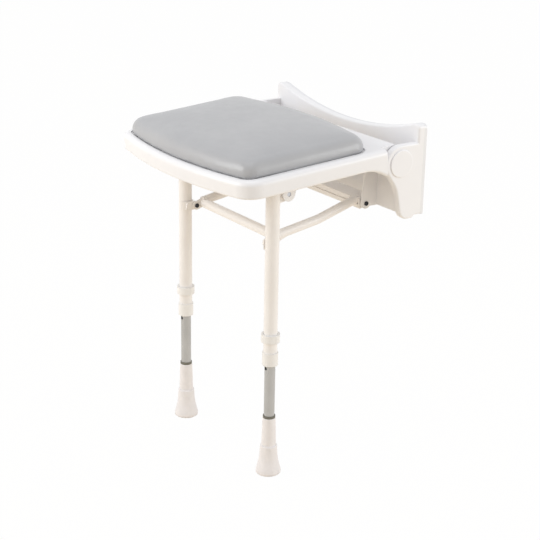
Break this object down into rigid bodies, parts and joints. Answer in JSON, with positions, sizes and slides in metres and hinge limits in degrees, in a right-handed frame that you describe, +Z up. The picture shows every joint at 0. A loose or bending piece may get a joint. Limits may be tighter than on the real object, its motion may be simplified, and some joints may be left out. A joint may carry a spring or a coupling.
{
  "type": "fold down wall seat",
  "caption": "Fold down wall seat with a padded cushion on a moulded shell, a horned wall bracket and two height-adjustable front legs on a folding strut frame.",
  "frame": {"origin": "centre of the four wall screw holes, on the back face that lies against the wall, 540 mm above the floor under the feet", "axes": "+X along the wall to the right of someone who faces the wall, +Y into the wall, +Z up"},
  "size_m": [0.4502, 0.4107, 0.647],
  "materials": {
    "white_coated_steel": "smooth white powder coat",
    "white_moulding": "white moulded plastic, satin gloss",
    "grey_vinyl": "padded grey vinyl, soft sheen, fine grain",
    "board": "sealed plywood",
    "zinc_steel": "bright zinc plate",
    "dark_steel": "dark plated steel",
    "cream_coated_steel": "off-white powder coat, fine orange peel",
    "white_nylon": "white nylon",
    "off_white_nylon": "off-white nylon",
    "bare_aluminium": "drawn aluminium tube, satin",
    "grey_moulding": "grey plastic",
    "off_white_rubber": "off-white rubber, matt"
  },
  "bodies": {
    "bracket": {"wall_plate": "white_coated_steel", "bracket_body": "white_moulding", "hinge_pin_left": "zinc_steel", "hinge_pin_right": "zinc_steel", "hinge_ring_left": "zinc_steel", "hinge_ring_right": "zinc_steel", "hinge_cap_left": "white_moulding", "hinge_cap_right": "white_moulding"},
    "seat": {"seat_shell": "white_moulding", "seat_pad": "grey_vinyl", "pad_board": "board", "pad_screws": "zinc_steel", "hinge_bush_outer_left": "white_nylon", "hinge_bush_outer_right": "white_nylon", "hinge_bush_inner_left": "white_nylon", "hinge_bush_inner_right": "white_nylon"},
    "strut": {"strut_crossbar": "cream_coated_steel", "strut_channel": "cream_coated_steel", "strut_arm_left": "cream_coated_steel", "strut_arm_right": "cream_coated_steel", "strut_bolt_left": "dark_steel", "strut_bolt_right": "dark_steel", "strut_nut_left": "zinc_steel", "strut_nut_right": "zinc_steel"},
    "leg_left": {"leg_tube_left": "cream_coated_steel", "leg_plug_left": "grey_moulding", "leg_knuckle_left": "cream_coated_steel", "leg_pin_left": "zinc_steel", "strut_lug_left": "cream_coated_steel", "lug_bolt_left": "dark_steel", "lug_nut_left": "zinc_steel", "leg_sleeve_left": "off_white_nylon", "clip_guide_left": "off_white_nylon"},
    "foot_left": {"inner_tube_left": "bare_aluminium", "inner_tube_plug_left": "grey_moulding", "foot_ring_left": "grey_moulding", "rubber_foot_left": "off_white_rubber"},
    "clip_left": {"height_clip_left": "off_white_nylon"},
    "leg_right": {"leg_tube_right": "cream_coated_steel", "leg_plug_right": "grey_moulding", "leg_knuckle_right": "cream_coated_steel", "leg_pin_right": "zinc_steel", "strut_lug_right": "cream_coated_steel", "lug_bolt_right": "dark_steel", "lug_nut_right": "zinc_steel", "leg_sleeve_right": "off_white_nylon", "clip_guide_right": "off_white_nylon"},
    "foot_right": {"inner_tube_right": "bare_aluminium", "inner_tube_plug_right": "grey_moulding", "foot_ring_right": "grey_moulding", "rubber_foot_right": "off_white_rubber"},
    "clip_right": {"height_clip_right": "off_white_nylon"}
  },
  "joints": [
    {"name": "seat_fold", "type": "hinge", "parent": "bracket", "child": "seat", "pos_m": [0, -0.057, 0.042], "axis": [-1, 0, 0], "range_deg": [0, 86]},
    {"name": "strut_fold", "type": "hinge", "parent": "bracket", "child": "strut", "pos_m": [0, -0.07, -0.05], "axis": [-1, 0, 0], "range_deg": [0, 86]},
    {"name": "leg_fold_left", "type": "hinge", "parent": "seat", "child": "leg_left", "pos_m": [-0.147, -0.2585, 0.001], "axis": [-1, 0, 0], "range_deg": [-86, 0]},
    {"name": "foot_slide_left", "type": "slide", "parent": "leg_left", "child": "foot_left", "axis": [0, 0, -1], "range_m": [-0.075, 0.05]},
    {"name": "clip_pull_left", "type": "slide", "parent": "leg_left", "child": "clip_left", "axis": [0, -1, 0], "range_m": [0, 0.025]},
    {"name": "leg_fold_right", "type": "hinge", "parent": "seat", "child": "leg_right", "pos_m": [0.147, -0.2585, 0.001], "axis": [-1, 0, 0], "range_deg": [-86, 0]},
    {"name": "foot_slide_right", "type": "slide", "parent": "leg_right", "child": "foot_right", "axis": [0, 0, -1], "range_m": [-0.075, 0.05]},
    {"name": "clip_pull_right", "type": "slide", "parent": "leg_right", "child": "clip_right", "axis": [0, -1, 0], "range_m": [0, 0.025]}
  ],
  "couplings": [
    {"joint": "strut_fold", "follows": "seat_fold", "ratio": 1},
    {"joint": "leg_fold_left", "follows": "seat_fold", "ratio": -1},
    {"joint": "leg_fold_right", "follows": "seat_fold", "ratio": -1}
  ]
}
